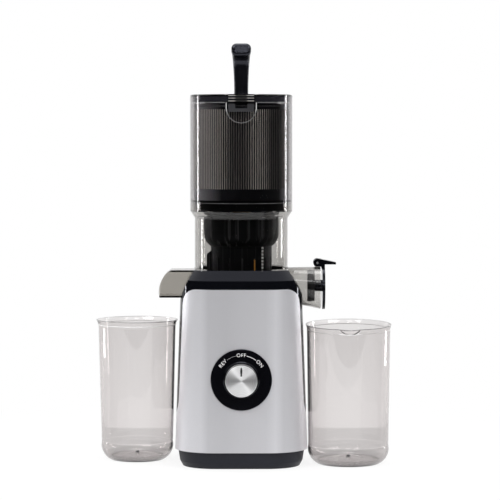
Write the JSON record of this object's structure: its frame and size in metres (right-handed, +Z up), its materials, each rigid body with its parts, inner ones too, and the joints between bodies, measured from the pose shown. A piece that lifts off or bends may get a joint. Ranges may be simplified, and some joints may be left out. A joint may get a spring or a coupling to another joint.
{
  "type": "vertical slow juicer",
  "caption": "Upright slow juicer: steel-fronted motor base with a rotary switch, clear juicing bowl with auger, wide hopper with flip lid, pulp chute, capped juice spout, cup and jug.",
  "frame": {"origin": "on the floor under the drive axis, which is within 4 mm of the middle of the whole set's box", "axes": "+Z up along the drive axis, -Y towards the user at the control dial, +X towards the juice spout"},
  "size_m": [0.3681, 0.1956, 0.5185],
  "materials": {
    "panel_steel": "fine vertical brushed satin",
    "black_gloss": "polished black",
    "black_satin": "satin black",
    "charcoal": "satin charcoal",
    "clear_smoke": "clear smoke tint",
    "dark_smoke": "dark smoke tint",
    "knob_metal": "spun face",
    "soft_rubber": "matte",
    "silicone": "soft matte",
    "steel": "machined",
    "lamination": "stacked sheet",
    "bronze": "sintered bush",
    "gear_nylon": "moulded nylon",
    "board_green": "solder mask"
  },
  "bodies": {
    "base": {"foot_base": "charcoal", "rubber_feet": "soft_rubber", "base_screws": "steel", "main_housing": "black_gloss", "top_deck": "black_gloss", "front_panel": "panel_steel", "cord_gland": "charcoal", "dial_ring": "black_gloss", "rotary_switch": "black_satin", "control_board": "board_green", "motor_can": "steel", "motor_end_cap": "black_satin", "stator": "lamination", "gearbox_case": "black_satin", "gearbox_cover": "black_satin", "gearbox_screws": "steel", "output_bearing": "bronze", "gear_axle": "steel", "deck_seal": "soft_rubber"},
    "knob": {"knob_cap": "knob_metal", "knob_pointer": "black_satin", "knob_skirt": "black_gloss", "knob_spindle": "steel"},
    "motor": {"armature": "lamination", "pinion_shaft": "steel", "cooling_fan": "black_satin"},
    "idler": {"idler_gear": "gear_nylon"},
    "drive": {"output_gear": "gear_nylon", "drive_shaft": "steel"},
    "bowl_unit": {"bowl": "clear_smoke", "pulp_chute": "clear_smoke", "bowl_seal": "silicone", "strainer_basket": "black_satin", "strainer_mesh": "steel", "cap_pin": "steel"},
    "auger_unit": {"auger": "black_satin", "auger_socket": "steel", "cutter_blade": "steel"},
    "juice_cap": {"cap_lever": "black_gloss", "cap_stopper": "silicone"},
    "hopper": {"hopper_shell": "clear_smoke", "hopper_liner": "dark_smoke", "feed_cone": "dark_smoke", "lid_hinge_pin": "steel"},
    "lid": {"lid_cover": "clear_smoke", "lid_insert": "black_gloss", "lid_handle": "black_gloss", "handle_screws": "steel"},
    "pulp_cup": {"pulp_cup": "clear_smoke"},
    "juice_jug": {"juice_jug": "clear_smoke"}
  },
  "joints": [
    {"name": "knob_turn", "type": "hinge", "parent": "base", "child": "knob", "pos_m": [0, -0.08177, 0.1104], "axis": [0, 0.9993, -0.0362], "range_deg": [-50, 50]},
    {"name": "motor_spin", "type": "hinge", "parent": "base", "child": "motor", "pos_m": [0, 0.009, 0.08], "axis": [0, 0, 1], "continuous": true},
    {"name": "idler_spin", "type": "hinge", "parent": "base", "child": "idler", "pos_m": [0, 0.036, 0.14], "axis": [0, 0, 1], "continuous": true},
    {"name": "drive_spin", "type": "hinge", "parent": "base", "child": "drive", "pos_m": [0, 0, 0.15], "axis": [0, 0, 1], "continuous": true},
    {"name": "bowl_lift", "type": "slide", "parent": "base", "child": "bowl_unit", "axis": [0, 0, 1], "range_m": [0, 0.12]},
    {"name": "auger_spin", "type": "hinge", "parent": "bowl_unit", "child": "auger_unit", "pos_m": [0, 0, 0.25], "axis": [0, 0, 1], "continuous": true},
    {"name": "cap_open", "type": "hinge", "parent": "bowl_unit", "child": "juice_cap", "pos_m": [0.0948, 0, 0.2484], "axis": [0, -1, 0], "range_deg": [0, 80]},
    {"name": "hopper_lift", "type": "slide", "parent": "bowl_unit", "child": "hopper", "axis": [0, 0, 1], "range_m": [0, 0.15]},
    {"name": "lid_open", "type": "hinge", "parent": "hopper", "child": "lid", "pos_m": [0, 0.068, 0.4505], "axis": [-1, 0, 0], "range_deg": [0, 100]},
    {"name": "pulp_cup_slide", "type": "slide", "parent": "base", "child": "pulp_cup", "axis": [-1, 0, 0], "range_m": [0, 0.12]},
    {"name": "juice_jug_slide", "type": "slide", "parent": "base", "child": "juice_jug", "axis": [1, 0, 0], "range_m": [0, 0.12]}
  ],
  "couplings": [
    {"joint": "idler_spin", "follows": "motor_spin", "ratio": -0.25},
    {"joint": "drive_spin", "follows": "motor_spin", "ratio": 0.0625},
    {"joint": "auger_spin", "follows": "motor_spin", "ratio": 0.0625}
  ]
}
